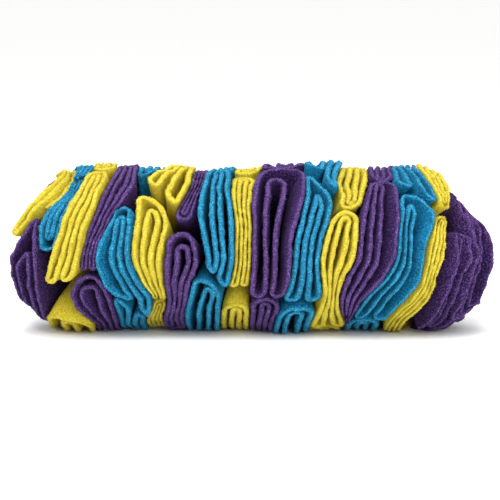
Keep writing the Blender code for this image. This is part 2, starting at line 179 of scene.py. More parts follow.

# %% [markdown]
# ## Fleece
# Fleece is a knitted polyester cloth, brushed until its loops break into a short dense pile. The
# pile scatters light at its tips, so it has no shine, glows a little where it is seen edge on, and
# looks grainy because the fibres clump. Dye stays deepest between the clumps. A picture of cloth
# could give that grain, but noise in Object space needs no picture and runs on over every fold.
#
# - The clumps are about a millimetre across, and a second, softer mottle of about 10 mm stands for
#   where the nap was pressed this way or that.
# - The painted edge sheen is an attribute that the sheets get below: it is 1 along the cut edge
#   and falls to 0 on the faces inside the folds. It paints the sheen that the free pile catches on
#   the cut edge: the cut edge is painted paler all over, and more of its fibre tips are painted bright.
# - The painted fold shade is another attribute: it is 0 at the cut edge and 1 deep in a fold. It
#   paints the shade of a deep fold: there the pile goes over to the deep tone of its dye, from a
#   start depth on and within a given span.
# - Sheen, roughness and specular are the same all over, so they are set on the shader itself. They
#   give the matt cloth its slight glow at the sides of a fold.

# %% Brushed fleece in three dyes, with painted fold shade and edge sheen
DYE_AND_PAINTED_TONES = {
    # colour: between the clumps and in the painted shade of deep folds, on the pile, and at the bright
    # tips and in the painted sheen of the cut edge
    "purple": ("#0b0316", "#372056", "#9270bc"),
    "blue": ("#012c4c", "#037aaa", "#5ccbee"),
    "yellow": ("#aa9324", "#d3c231", "#f8ec74"),
}
# Painted sheen: how far the whole cut edge is painted towards the tip tone.
EDGE_PAINTED_SHEEN = {"purple": 0.16, "blue": 0.12, "yellow": 0.05}
# Painted shade: where it begins deep in a fold, as a share of the fold's depth, and the span over which
# it grows full.
FOLD_SHADE_FROM = {"purple": 0.25, "blue": 0.4, "yellow": 0.45}
FOLD_SHADE_OVER = 0.5
CLUMP, TIP, MOTTLE = 1.2, 0.8, 10.0
CLUMP_HEIGHT = 0.55
LEAST_MOTTLE = 0.65
# The cut edge gets more bright tips than the faces: fibre tips on the faces, painted sheen on the edge.
TIPS_ON_FACES, TIPS_ON_EDGE = 0.3, 0.85


def brushed_fleece(colour):
    """Fleece: two tones of the dye in clumps, painted shade in deep folds, and bright tips with a
    painted sheen along the cut edge.
    """
    deep_and_painted_shade, pile, tip_and_sheen_tone = (linear(tone) for tone in DYE_AND_PAINTED_TONES[colour])
    material = bpy.data.materials.new("brushed_fleece_" + colour)
    material.use_nodes = True
    tree = material.node_tree
    place = add_node(tree, "ShaderNodeTexCoord").outputs["Object"]
    painted_edge_sheen = add_node(tree, "ShaderNodeAttribute", {"attribute_name": "painted_edge_sheen"}).outputs["Fac"]
    painted_fold_shade = add_node(tree, "ShaderNodeAttribute", {"attribute_name": "painted_fold_shade"}).outputs["Fac"]

    # The dye and painted shade: the pile shows on the clumps and less in the mottle's troughs, and deep
    # in a fold it goes over to the deep tone as painted shade.
    clumps = noise(tree, place, CLUMP, 3.0, 0.6, 0.4)
    pressed = ramp(tree, noise(tree, place, MOTTLE, 2.0, 0.5), 0.3, 0.7, LEAST_MOTTLE, 1.0)
    painted_shade_from = FOLD_SHADE_FROM[colour]
    free_of_painted_shade = ramp(tree, painted_fold_shade, painted_shade_from, painted_shade_from + FOLD_SHADE_OVER, 1.0, 0.0)
    on_clumps = product(tree, ramp(tree, clumps, 0.3, 0.6), pressed)
    dye_and_painted_shade = blend(tree, product(tree, on_clumps, free_of_painted_shade), deep_and_painted_shade, pile)

    # The tips and painted sheen: an even painted paleness along the cut edge, then single bright
    # fibres, more of them painted along the cut edge.
    with_painted_sheen = blend(tree, ramp(tree, painted_edge_sheen, 0.3, 1.0, 0.0, EDGE_PAINTED_SHEEN[colour]), dye_and_painted_shade, tip_and_sheen_tone)
    fibres = ramp(tree, noise(tree, place, TIP, 2.0, 0.55), 0.5, 0.72)
    tips_with_painted_sheen = ramp(tree, painted_edge_sheen, 0.0, 1.0, TIPS_ON_FACES, TIPS_ON_EDGE)
    fleece = blend(tree, product(tree, fibres, tips_with_painted_sheen), with_painted_sheen, tip_and_sheen_tone)

    bump = add_node(tree, "ShaderNodeBump", links={"Height": clumps}, values={
        "Strength": 0.9, "Distance": CLUMP_HEIGHT * MM})
    shader = tree.nodes["Principled BSDF"]
    tree.links.new(fleece, shader.inputs["Base Color"])
    tree.links.new(bump.outputs["Normal"], shader.inputs["Normal"])
    shader.inputs["Roughness"].default_value = 0.95
    shader.inputs["Metallic"].default_value = 0.0
    shader.inputs["Specular IOR Level"].default_value = 0.1
    shader.inputs["Sheen Weight"].default_value = 0.2
    shader.inputs["Sheen Roughness"].default_value = 0.45
    shader.inputs["Sheen Tint"].default_value = tip_and_sheen_tone
    return material


FLEECE_OF = {colour: brushed_fleece(colour) for colour in DYE_AND_PAINTED_TONES}
print("dyes:", sorted(FLEECE_OF))

# %% [markdown]
# ## How the rounds stand
# Seventeen bands of rounds follow each other along the stick, one to four rounds to a band. Where
# one band ends and the next begins is written down as twelve places round the stick, and a smooth
# closed curve runs through them, so that the bands wander as the real ones do. The rounds
# themselves are rows of a table: what a maker would note down on paper before folding each one.

# %% Bands and rounds
SEAM_ANGLES = (-90, -60, -30, -15, 0, 30, 45, 60, 90, 135, 180, 225)
SEAMS = np.array((
    (-146, -149, -150.5, -150.8, -150.5, -147, -139.7, -131, -117, -134, -143, -146),
    (-124, -128, -130.6, -131.2, -131.5, -131.6, -123.6, -114.7, -108.4, -118, -127, -128),
    (-123.5, -127.5, -130, -127, -123, -114.7, -109.8, -105, -98, -104, -110, -114),
    (-98, -100.3, -113.7, -109, -104.7, -97.5, -94.5, -91, -84, -86, -93, -94),
    (-80, -83, -87, -91.5, -94.6, -85, -76, -71.5, -69, -70, -73, -77),
    (-63, -65.3, -60.3, -67.5, -73, -72, -71.5, -66, -51, -53, -57, -58),
    (-53, -55.6, -52, -53.8, -54.4, -49, -42.5, -38.5, -35.5, -36, -38, -43),
    (-38, -42.2, -39, -37, -31, -35.5, -34.2, -31, -26.5, -20, -21, -26),
    (-17, -19.7, -18, -12.5, -9.8, -11, -11.6, -12.2, -10, -3, -4, -8),
    (-1, -3.1, -2.2, -0.6, 0.6, 1.2, 1.1, 1.5, 6, 15, 14, 9),
    (15, 12.2, 19, 23, 24, 28.7, 31.5, 33, 34, 34, 33, 27),
    (36, 36, 42.5, 42, 41.9, 48.5, 56, 53.5, 57, 53, 51, 46),
    (56, 57, 54, 57.5, 64, 67.8, 70.5, 72.8, 73.5, 71, 70, 65),
    (60, 57.5, 69, 79, 86, 91.5, 91.5, 89, 88.5, 89, 88, 82),
    (80, 78.4, 93, 102, 107.5, 113.5, 114.5, 110, 104, 106, 105, 99),
    (98, 93.4, 108.4, 115, 120.6, 122.3, 123.5, 124, 120, 123, 123, 119),
    (99.5, 116, 129, 135, 138, 133, 128.5, 125.4, 121.5, 124, 124, 120),
    (145, 146, 148, 149.2, 149.7, 146, 140.2, 134, 127, 132, 144, 145),
), dtype=float)

# One row for each round: its band, colour, the angles that it fills, how far each end leans across
# the band, the end whose turns lie one inside the other, how much lower the inner turn lies, how
# far its cut edge stands out past its neighbours, its thickness, and how the spare room is shared
# at each end: before the first layer, in the three spaces of the four layers, and after the last.
Round = namedtuple(
    "Round", "name band colour low high lean_low lean_high nested drop reach fleece room_low room_high")
EVEN = (0, 1, 1, 1, 0)
ROUNDS = (
    Round("p1_front", 1, "purple", -76, 26, 0, 17, "high", 6, -1, 2.4, EVEN, (0, 1, 6, 1, 0)),
    Round("y1_top", 1, "yellow", 33, 118, 17, 0, "high", 0, 1, 3, EVEN, EVEN),
    Round("p1_back", 1, "purple", 120, 200, 0, 0, "low", 0, 0, 3, EVEN, EVEN),
    Round("p1_low", 1, "purple", 202, 281, 0, 0, "high", 0, -2, 3, EVEN, EVEN),
    Round("b2_front", 2, "blue", 5, 66, 0, 0, "low", 4, -2, 3, EVEN, EVEN),
    Round("b2_top", 2, "blue", 68, 158, 0, 0, "high", 0, -1, 3, EVEN, EVEN),
    Round("b2_back", 2, "blue", 160, 246, 0, 0, "high", 0, 1, 3, EVEN, EVEN),
    Round("y3_front", 3, "yellow", -17, 72, 2, 0, "high", 0, 1, 3, (0, 3, 1, 2, 0), EVEN),
    Round("y3_top", 3, "yellow", 74, 162, 0, 0, "low", 0, 0, 3, EVEN, EVEN),
    Round("y3_back", 3, "yellow", 164, 252, 0, 0, "high", 0, -2, 3, EVEN, EVEN),
    Round("y3_low", 3, "yellow", -108, -50, 0, 0, "high", 0, 0, 2.8, (0, 2, 1, 2, 0), (0, 2, 1, 2, 0)),
    Round("p4_front", 4, "purple", -8, 96, 0, 0, "high", 0, -2, 3, (3, 1, 1, 1, 0), (0, 1, 3, 1, 1)),
    Round("p4_top", 4, "purple", 98, 178, 0, 0, "high", 0, -1, 3, EVEN, EVEN),
    Round("p4_back", 4, "purple", 180, 258, 0, 0, "low", 0, 1, 3, EVEN, EVEN),
    Round("p4_low", 4, "purple", -100, -11, 0, 0, "high", 4, -2, 2.6, EVEN, (1, 1, 3, 1, 0)),
    Round("b5_front", 5, "blue", -36, 37, -12, 0, "high", 3, 0, 2.7, (0, 6, 1, 1, 0), (0, 3, 1, 1, 0)),
    Round("b5_top", 5, "blue", 70, 140, 6, 0, "low", 0, -2, 3, EVEN, EVEN),
    Round("b5_back", 5, "blue", 142, 232, 0, 0, "high", 0, -1, 3, EVEN, EVEN),
    Round("b5_low", 5, "blue", -126, -39, 0, -12, "low", 0, -3, 3, EVEN, EVEN),
    Round("y6_front", 6, "yellow", -31, 43, 0, -10, "high", 2, -2, 3, EVEN, (0, 1, 2, 1, 1)),
    Round("y6_top", 6, "yellow", 48, 128, -11, 0, "high", 0, 0, 3, EVEN, (0, 1, 1, 3, 0)),
    Round("y6_back", 6, "yellow", 130, 238, 0, 0, "low", 0, 1, 3, EVEN, EVEN),
    Round("y6_low", 6, "yellow", -120, -33, 0, 0, "high", 0, -4, 3, EVEN, EVEN),
    Round("p7_front", 7, "purple", -69, 19, 0, 0, "high", 4, -1, 3, (0, 3, 1, 1, 0), (1, 1, 4, 1, 3)),
    Round("p7_top", 7, "purple", 27, 108, 0, 0, "low", 0, -3, 3, EVEN, EVEN),
    Round("p7_back", 7, "purple", 110, 198, 0, 0, "high", 0, -2, 3, EVEN, EVEN),
    Round("p7_low", 7, "purple", 200, 288, 0, 0, "high", 0, -1, 2.6, EVEN, EVEN),
    Round("b8_front", 8, "blue", -13, 80, -7, 0, "high", 0, 1, 3, (3, 1, 1, 2, 0), (0, 4, 1, 2, 0)),
    Round("b8_top", 8, "blue", 82, 167, 0, 0, "high", 0, -1, 3, EVEN, EVEN),
    Round("b8_back", 8, "blue", 169, 253, 0, 0, "low", 0, 0, 3, EVEN, EVEN),
    Round("b8_low", 8, "blue", -105, -16, 0, -7, "high", 0, -1, 2.6, EVEN, (0, 3, 2, 1, 0)),
    Round("y9_front", 9, "yellow", -21, 74, 0, 0, "high", 0, -3, 3, (0, 1, 3, 1, 0), EVEN),
    Round("y9_top", 9, "yellow", 76, 161, 0, 0, "low", 0, -2, 3, EVEN, EVEN),
    Round("y9_back", 9, "yellow", 163, 248, 0, 0, "high", 0, -3, 3, EVEN, EVEN),
    Round("y9_low", 9, "yellow", -110, -36, 0, 0, "high", 0, -3, 2.7, EVEN, (0, 3, 1, 1, 0)),
    Round("p10_front", 10, "purple", -27, 75, 0, 0, "high", 9, 1, 2.7,
          (0, 4, 1, 4, 0), (0, 1, 5, 6, 0)),
    Round("p10_back", 10, "purple", 79, 212, 0, 0, "low", 0, 0, 3, EVEN, EVEN),
    Round("p10_low", 10, "purple", -146, -29, 0, 0, "high", 0, -2, 3, EVEN, (0, 2, 1, 2, 0)),
    Round("b11_front", 11, "blue", -33, 58, 0, -18, "high", 0, -2, 3, (0, 2, 1, 2, 0), (0, 1, 1, 4, 0)),
    Round("b11_top", 11, "blue", 64, 163, -18, 0, "high", 0, 1, 3, (0, 4, 0.1, 0.5, 0), EVEN),
    Round("b11_back", 11, "blue", 165, 243, 0, 0, "low", 0, -1, 3, EVEN, EVEN),
    Round("b11_low", 11, "blue", -115, -35, 0, 0, "high", 0, 0, 3, EVEN, (0, 1, 4, 1, 0)),
    Round("y12_front", 12, "yellow", -62, 34, 0, 0, "high", 0, -0.5, 3, EVEN, (0, 1, 2, 1, 0)),
    Round("y12_top", 12, "yellow", 36, 120, 0, 0, "low", 0, -3, 3, EVEN, EVEN),
    Round("y12_back", 12, "yellow", 122, 208, 0, 0, "high", 0, 1, 3, EVEN, EVEN),
    Round("y12_low", 12, "yellow", 210, 296, 0, 0, "high", 0, -2, 3, EVEN, EVEN),
    Round("p13_front", 13, "purple", -56, 64, 0, 0, "high", 0, 0, 2.4,
          (0, 2.5, 1, 3, 0.2), (0, 0.4, 1.4, 6, 0)),
    Round("p13_top", 13, "purple", 66, 158, 0, 0, "low", 0, -1, 2.6, EVEN, EVEN),
    Round("p13_back", 13, "purple", 160, 250, 0, 0, "high", 0, -2, 3, EVEN, EVEN),
    Round("b14_front", 14, "blue", -49, 44, 0, -9, "high", 0, -1, 2.0,
          (0, 2, 2, 3, 0), (0, 0.5, 0.5, 9, 0)),
    Round("b14_top", 14, "blue", 50, 134, -9, 0, "high", 0, -1, 2.4, EVEN, EVEN),
    Round("b14_back", 14, "blue", 136, 221, 0, 0, "low", 0, 0, 3, EVEN, EVEN),
    Round("b14_low", 14, "blue", 223, 309, 0, 0, "high", 0, -2, 3, EVEN, EVEN),
    Round("y15_front", 15, "yellow", -80, 33, 0, 0, "high", 0, -2, 1.7,
          (6, 0.5, 1, 1, 0), (6, 0.5, 0.5, 1, 0)),
    Round("y15_top", 15, "yellow", 38, 146, 0, 0, "low", 0, 0, 3, EVEN, EVEN),
    Round("y15_back", 15, "yellow", 148, 278, 0, 0, "high", 0, -1, 3, EVEN, EVEN),
    Round("p16_front", 16, "purple", -66, 22, 0, 0, "high", 0, -1, 1.5,
          (20, 0.5, 0.5, 1, 0), (20, 0.5, 0.5, 1, 0)),
    Round("p17_front", 17, "purple", -58, 54, 0, -9, "high", 0, 0, 1.6,
          (1, 1, 1, 2, 0), (2, 1, 1, 2, 0)),
    Round("p17_back", 17, "purple", 125, 185, 0, 0, "low", 0, -1, 3, EVEN, EVEN),
    Round("p17_low", 17, "purple", 187, 300, 0, 0, "high", 0, 0, 3, EVEN, EVEN),
)
print("bands:", len(SEAMS) - 1, "rounds:", len(ROUNDS))

# %% [markdown]
# ## The outer shape
# Every point of a cut edge is one radius from where its round is held, so the stick is a cylinder
# with a dome at each end. A few hollows and bulges in it come from rounds that were pressed down or
# pulled up. An ellipsoid could stand for the stick from afar, but every round has to know how far
# out its own edge lies at each angle.

# %% Seams and the height of the cut edges
ROUND_RADIUS = 53.0
DOME_AT = (-103.0, 103.0)
LEAST_RIM = 24.0
# middle along the stick, middle angle, reach along, reach round in degrees, depth (a bulge is minus)
HOLLOWS = (
    (-128, 75, 18, 40, 6),
    (-25, 85, 28, 38, 2.5),
    (-48, -58, 14, 25, 2),
    (18, -62, 14, 24, -3),
    (82, 72, 10, 30, 4),
    (90, -58, 14, 24, -2),
    (138, 85, 20, 62, 13),
)


def seam_place(index, angle):
    """A cubic through one row of SEAMS, its slope at a knot that between the knots beside it."""
    knots = np.array(SEAM_ANGLES, dtype=float)
    row = SEAMS[index]
    turn = (np.asarray(angle, dtype=float) - knots[0]) % 360.0 + knots[0]
    wide_knots = np.concatenate(([knots[-1] - 360.0], knots, knots[:2] + 360.0))
    wide_row = np.concatenate(([row[-1]], row, row[:2]))
    cell = np.clip(np.searchsorted(wide_knots, turn, side="right") - 1, 1, len(knots))
    start, end = wide_knots[cell], wide_knots[cell + 1]
    slope_start = (wide_row[cell + 1] - wide_row[cell - 1]) / (end - wide_knots[cell - 1])
    slope_end = (wide_row[cell + 2] - wide_row[cell]) / (wide_knots[cell + 2] - start)
    step = end - start
    part = (turn - start) / step
    rise = wide_row[cell + 1] - wide_row[cell]
    bend = (1 - part) * (slope_start * step - rise) + part * (rise - slope_end * step)
    return wide_row[cell] + part * rise + part * (1 - part) * bend


def rim_distance(place, angle):
    """Distance from the axis: a capsule, less a bell curve for each hollow."""
    beyond = place - np.clip(place, *DOME_AT)
    distance = np.sqrt(np.maximum(ROUND_RADIUS ** 2 - beyond ** 2, LEAST_RIM ** 2))
    for middle, middle_angle, along, round_it, depth in HOLLOWS:
        turned = ((angle - middle_angle + 180) % 360 - 180) / round_it
        distance = distance - depth * np.exp(-((place - middle) / along) ** 2 - turned ** 2)
    return distance


print("ends of the stick:", seam_place(0, 0.0), seam_place(17, 0.0))

# %% [markdown]
# ## Four layers side by side
# A round folded in quarters is four layers deep, and the layers share the width of their band.
# Fleece that leans takes more of that width, and where the band is too narrow the cloth is squeezed.
# The layers could stand at equal steps, but the photograph shows some pressed together with a wide
# space beside them, so each round shares out its spare room in its own way.

# %% Places of the layers across a band
LAYER_GAP = 0.55
ROUND_GAP = 1.1
SLOPE_STEP = 6.0


def layer_places(spec, angle):
    """Places of the four layers at an angle, and their thickness: widths plus shared spare room."""
    angle = np.asarray(angle, dtype=float)
    left = seam_place(spec.band - 1, angle) + ROUND_GAP / 2
    right = seam_place(spec.band, angle) - ROUND_GAP / 2
    distance = rim_distance((left + right) / 2, angle)
    slopes = [np.abs(seam_place(index, angle + SLOPE_STEP) - seam_place(index, angle - SLOPE_STEP))
              / (2 * SLOPE_STEP) for index in (spec.band - 1, spec.band)]
    stretch = np.sqrt(1 + (np.maximum(*slopes) / np.radians(distance)) ** 2)
    width = right - left
    wide = np.minimum(spec.fleece * stretch, (width - 3 * LAYER_GAP * stretch) / 4)
    spare = width - 4 * wide - 3 * LAYER_GAP * stretch
    part = np.clip((angle - spec.low) / (spec.high - spec.low), 0, 1)
    low = np.array(spec.room_low, dtype=float) / sum(spec.room_low)
    high = np.array(spec.room_high, dtype=float) / sum(spec.room_high)
    share = low[:, None] * (1 - part) + high[:, None] * part
    first = left + wide / 2 + spare * share[0]
    steps = wide + LAYER_GAP * stretch + spare * share[1:4]
    places = np.concatenate((first[None], first[None] + np.cumsum(steps, axis=0)))
    return places, wide / stretch


places, thickness = layer_places(ROUNDS[11], np.array([20.0]))
print("layers of p4_front at 20 degrees:", np.round(places[:, 0], 1),
      "thick:", round(float(thickness[0]), 2))

# %% [markdown]
# ## Layers that dip or bow
# A few layers were pushed in with a finger, or bulge into the space beside them. Each is one row:
# the round, the middle layer and angle of the place, its reach in layers and in degrees, how much
# lower the cut edge lies there, and how far the cloth bows along the stick and up round it. Moving
# the layers one by one keeps them in the order that they were folded in.

# %% Dips and bows of single layers
Dip = namedtuple("Dip", "name layer angle layers round depth bow bow_up")
DIPS = (
    Dip("y1_top", 2.3, 75, 1.3, 50, 6, 0, 0),
    Dip("y3_low", 1.5, -50, 9, 90, 0, 0, 4),
    Dip("y9_low", 1.5, -50, 9, 90, 0, 0, 4),
    Dip("b5_front", 0, -5, 0.6, 30, 0, 2.5, 0),
    Dip("p10_front", 3, 35, 0.6, 45, 0, -4, 0),
    Dip("p13_front", 3, 15, 0.6, 40, 0, -4, 0),
    Dip("b14_front", 3, 5, 0.6, 40, 0, -5, 0),
    Dip("y15_front", 0, -20, 0.8, 45, 0, -2.5, 0),
    Dip("p16_front", 0, -15, 0.8, 45, 0, -3, 0),
    Dip("p16_front", 1.5, -15, 0.8, 45, 4, 0, 0),
    Dip("p17_front", 0, 0, 0.8, 45, 0, -2, 0),
    Dip("p17_front", 1.5, -5, 0.8, 40, 4, 0, 0),
)


def layer_dip(spec, angle, layer):
    """Depth and the two bows at points of an edge line: a bell curve for each row of DIPS, added up."""
    total = np.zeros((3, len(angle)))
    for dip in DIPS:
        if dip.name == spec.name:
            across, round_it = (layer - dip.layer) / dip.layers, (angle - dip.angle) / dip.round
            bell = np.exp(-across ** 2 - round_it ** 2)
            total += np.array((dip.depth, dip.bow, dip.bow_up))[:, None] * bell
    return total


print("rounds with a dip or a bow:", len({dip.name for dip in DIPS}))

# %% [markdown]
# ## The line of a cut edge
# Fold a round of cloth twice and its cut edge is still one closed line. It runs up one layer, turns
# over into the next and comes down again, four times. At one end of the wedge two turns lie one
# inside the other, and at the other end two loops lie side by side. The same line, drawn small and
# nearly flat, is where the round is held: a short slot of the stick's middle for each band.

# %% Edge line of a folded round
# Middle of each band's slot, and the one round that is held beside its band's slot.
HELD_AT = (-113.5, -101.5, -89.5, -77.0, -64.0, -50.5, -35.5, -19.5,
           -3.5, 13.0, 29.5, 46.0, 62.5, 79.0, 92.5, 104.0, 115.0)
HELD_ASIDE = {"y3_low": (-104.0, -83.25)}
END_SLOT = 14.0
HELD_RADIUS = 8.0
HELD_HEIGHT = 0.5
HELD_BREAK = 1.5
HELD_SKEW = 0.4
HELD_FLEECE = 2.0
OUTER_HEIGHT, INNER_HEIGHT, LOOP_HEIGHT = 7.0, 5.0, 3.5
OUTER_POINTS, INNER_POINTS, LOOP_POINTS = 19, 13, 11
RUN_STEP = 1.5


def held_slot(spec):
    """Both ends of the short stretch of the stick's middle where a round is held."""
    if spec.name in HELD_ASIDE:
        return HELD_ASIDE[spec.name]
    index = spec.band - 1
    before = HELD_AT[index - 1] if index > 0 else HELD_AT[0] - END_SLOT
    after = HELD_AT[index + 1] if index < len(HELD_AT) - 1 else HELD_AT[-1] + END_SLOT
    return (before + HELD_AT[index]) / 2, (after + HELD_AT[index]) / 2


def edge_line(spec, rim_runs):
    """Closed line of place, angle, thickness and layer: straight runs joined by half ellipses.

    The cut edge comes first with an empty rim_runs and fills it with the angles of its runs. The
    held fold then gets the same number of points, moved in proportion.
    """
    rim = not rim_runs
    slot_left, slot_right = held_slot(spec)
    flip = spec.nested == "low"
    plain_end, plain_lean = (spec.high, spec.lean_high) if flip else (spec.low, spec.lean_low)
    nested_end, nested_lean = (spec.low, spec.lean_low) if flip else (spec.high, spec.lean_high)
    inward = -1.0 if flip else 1.0
    thick = spec.fleece if rim else HELD_FLEECE

    def layer_x(layer, angle):
        if rim:
            places, thickness = layer_places(spec, angle)
            return places[layer], thickness
        place = slot_left + (slot_right - slot_left) * (layer + 0.5) / 4 + 0 * angle
        return place, HELD_FLEECE + 0 * angle

    def end_angle(layer, nested):
        end, lean = (nested_end, nested_lean) if nested else (plain_end, plain_lean)
        back = 0 if rim else (-inward if nested else inward) * HELD_BREAK
        return end + back + lean * (1.0 if rim else HELD_SKEW) * (2 * layer / 3 - 1)

    def turn(first, last, nested, depth, height, count):
        share = (1 - np.cos(np.linspace(0, math.pi, count))) / 2
        layer = first + (last - first) * share
        end = end_angle(layer, nested)
        from_x, _ = layer_x(first, end)
        to_x, _ = layer_x(last, end)
        place = from_x + (to_x - from_x) * share
        level = rim_distance(place, end) if rim else np.full(count, HELD_RADIUS)
        slant = np.radians(abs(end[-1] - end[0])) * level.mean() / abs(to_x - from_x).mean()
        away = depth * math.sqrt(1 + slant ** 2) + height * (1 - 2 * np.sqrt(share * (1 - share)))
        angle = end + (-inward if nested else inward) * np.degrees(away / level)
        from_x, from_thick = layer_x(first, angle)
        to_x, to_thick = layer_x(last, angle)
        place = from_x + (to_x - from_x) * share
        return np.stack((place, angle, np.minimum(from_thick, to_thick), layer), axis=1)

    def run(layer, start, end):
        if rim:
            length = np.radians(abs(end - start)) * ROUND_RADIUS
            angle = np.linspace(start, end, max(4, int(length / RUN_STEP)))[1:-1]
            rim_runs[layer] = (angle, min(start, end), max(start, end))
        else:
            angle, rim_low, rim_high = rim_runs[layer]
            part = (angle - rim_low) / (rim_high - rim_low)
            angle = angle + (min(start, end) - rim_low) * (1 - part) ** 2
            angle = angle + (max(start, end) - rim_high) * part ** 2
        place, thickness = layer_x(layer, angle)
        return np.stack((place, angle, thickness, np.full(len(angle), float(layer))), axis=1)

    def room(first, last, nested):
        from_x, _ = layer_x(first, np.array([end_angle(first, nested)]))
        to_x, _ = layer_x(last, np.array([end_angle(last, nested)]))
        return abs(float(to_x[0] - from_x[0])) / 2

    outer = min(OUTER_HEIGHT, room(0, 3, True)) if rim else HELD_HEIGHT
    inner = min(INNER_HEIGHT, room(1, 2, True)) if rim else HELD_HEIGHT
    loop_a = min(LOOP_HEIGHT, room(0, 1, False)) if rim else HELD_HEIGHT
    loop_b = min(LOOP_HEIGHT, room(2, 3, False)) if rim else HELD_HEIGHT
    inner_depth = thick * 1.5 + LAYER_GAP + (spec.drop if rim else HELD_HEIGHT)

    outer_turn = turn(0, 3, True, thick / 2, outer, OUTER_POINTS)
    right_loop = turn(3, 2, False, thick / 2, loop_b, LOOP_POINTS)
    inner_turn = turn(2, 1, True, inner_depth, inner, INNER_POINTS)
    left_loop = turn(1, 0, False, thick / 2, loop_a, LOOP_POINTS)
    line = np.concatenate((
        outer_turn, run(3, outer_turn[-1, 1], right_loop[0, 1]),
        right_loop, run(2, right_loop[-1, 1], inner_turn[0, 1]),
        inner_turn, run(1, inner_turn[-1, 1], left_loop[0, 1]),
        left_loop, run(0, left_loop[-1, 1], outer_turn[0, 1]),
    ))
    return line[::-1] if flip else line


print("points round one cut edge:", len(edge_line(ROUNDS[11], {})))

# %% [markdown]
# ## Cloth is never even
# A ruled sheet from the held fold to the cut edge would look like folded paper. Real fleece bows
# between its ends, its cut edge was cut a little in and out with scissors, and its pile makes the
# surface lumpy. Four kinds of unevenness stand for that:
#
# - a slow sway moves neighbouring layers together, so they never pass through each other, and it
#   grows with the distance from the middle;
# - whole groups of layers bow below their cut edges where their neighbours push them over, and a
#   broad face then turns to the light;
# - the cut edge goes in and out by half a millimetre, and lumps about 3 and 7 mm across are pushed
#   out of the surface itself;
# - at both ends the folded points are gathered at the middle until they nearly meet.
#
# Noise nodes could move the surface at render time, but here it is moved in the mesh, so that the
# shape is the same in every renderer. Sums of sine waves in a few random directions are smooth,
# cheap for whole arrays, and the same each time for one seed. Cloth simulation could make the bows
# as well, but sixty rounds that press on each other wouldn't settle as they lie in the photograph.

# %% Unevenness from sine waves
WAVES = 9
# depth * depth * (1 - depth) is highest two thirds of the way out, and this makes it 1 there.
BOW_SHARE = 6.75


def ripple(points, wave, seed):
    """Smooth height of about -1 to 1: a sum of sine waves of about one length, each way at random."""
    rng = np.random.default_rng(seed)
    directions = rng.normal(size=(WAVES, 3))
    directions /= np.linalg.norm(directions, axis=1, keepdims=True)
    lengths = wave * rng.uniform(0.7, 1.5, (WAVES, 1))
    phases = points @ (directions / lengths).T * 2 * math.pi + rng.uniform(0, 2 * math.pi, WAVES)
    return np.sin(phases).sum(axis=-1) / math.sqrt(WAVES)


# height, length of the waves and seed of each slow sway, and how fast it grows outwards
SWAYS = ((1.1, 48.0, 11), (0.4, 21.0, 12))
SWAY_GROWTH = 1.5
EDGE_CUT, EDGE_WAVE, EDGE_SEED = 0.45, 12.0, 5
# height and length of the waves of the lumps, and the first one's seed
LUMPS = ((0.22, 6.5), (0.12, 3.4))
LUMP_SEED = 20
GATHERED, GATHER_REACH = 5.5, 13.0
END_FROM, END_REACH = 96.0, 14.0
# whole groups: middle along the stick, middle angle, reach along, reach round in degrees, bow
BOWS = (
    (-124, 75, 16, 50, 5.0),
    (124, -5, 14, 55, -4.0),
    (132, -5, 12, 60, -3.0),
)


def gather(points):
    """Draws the ends in: GATHERED * end * near ** 2 less radius, near being 1 at the folded points."""
    radius = np.hypot(points[..., 1], points[..., 2] - AXIS_HEIGHT)
    near = np.clip(1 - (radius - HELD_RADIUS) / GATHER_REACH, 0, None)
    end = np.clip((np.abs(points[..., 0]) - END_FROM) / END_REACH, 0, 1)
    scale = 1 - GATHERED * end * near ** 2 / radius
    moved = points.copy()
    moved[..., 1] = points[..., 1] * scale
    moved[..., 2] = AXIS_HEIGHT + (points[..., 2] - AXIS_HEIGHT) * scale
    return moved


def sway(points):
    """Moves points along the stick: slow ripples, and bell curves that are highest below the edges."""
    radius = np.hypot(points[..., 1], points[..., 2] - AXIS_HEIGHT)
    angle = np.degrees(np.arctan2(points[..., 2] - AXIS_HEIGHT, -points[..., 1]))
    reach = np.clip(radius / ROUND_RADIUS, 0, 1) ** SWAY_GROWTH
    out = np.clip((radius - HELD_RADIUS) / (rim_distance(points[..., 0], angle) - HELD_RADIUS), 0, 1)
    moved = points.copy()
    for height, wave, seed in SWAYS:
        moved[..., 0] += height * reach * ripple(points, wave, seed)
    for place, middle, along, round_it, bow in BOWS:
        turned = ((angle - middle + 180) % 360 - 180) / round_it
        bell = np.exp(-((points[..., 0] - place) / along) ** 2 - turned ** 2)
        moved[..., 0] += bow * bell * BOW_SHARE * out ** 2 * (1 - out)
    return moved


probe = np.random.default_rng(1).uniform(-50, 50, (500, 3))
print("sway reaches:", np.round(np.abs(sway(probe) - probe).max(), 2), "mm")

# %% [markdown]
# ## From lines to a sheet
# One sheet is a grid. Its columns follow the edge line, and its rows go from the held fold out to
# the cut edge, over the rounded nose of the pile and back down the other face. The grid closes on
# itself in both directions, so the cloth is a closed skin with a real thickness. Rows lie closer
# together near the cut edge, where they show.

# %% Grid of one folded round
DEPTH_ROWS = np.array((0.0, 0.36, 0.58, 0.72, 0.82, 0.89, 0.94, 0.975))
NOSE_TURNS = np.radians((90, 68, 40, 13, -13, -40, -68, -90))
NOSE_OUT = 1.1
LEAST_FLEECE = 0.8
EDGE_SHEEN_DEPTH = 3.0
FACE_EDGE_SHEEN = 0.25


def to_space(place, angle, distance):
    """Turns a place along the stick, an angle and a distance from the axis into x, y and z."""
    turn = np.radians(angle)
    return np.stack((place, -distance * np.cos(turn), AXIS_HEIGHT + distance * np.sin(turn)), axis=-1)


def unit(vectors):
    """Vectors divided by their lengths."""
    return vectors / np.maximum(np.linalg.norm(vectors, axis=-1, keepdims=True), 1e-9)


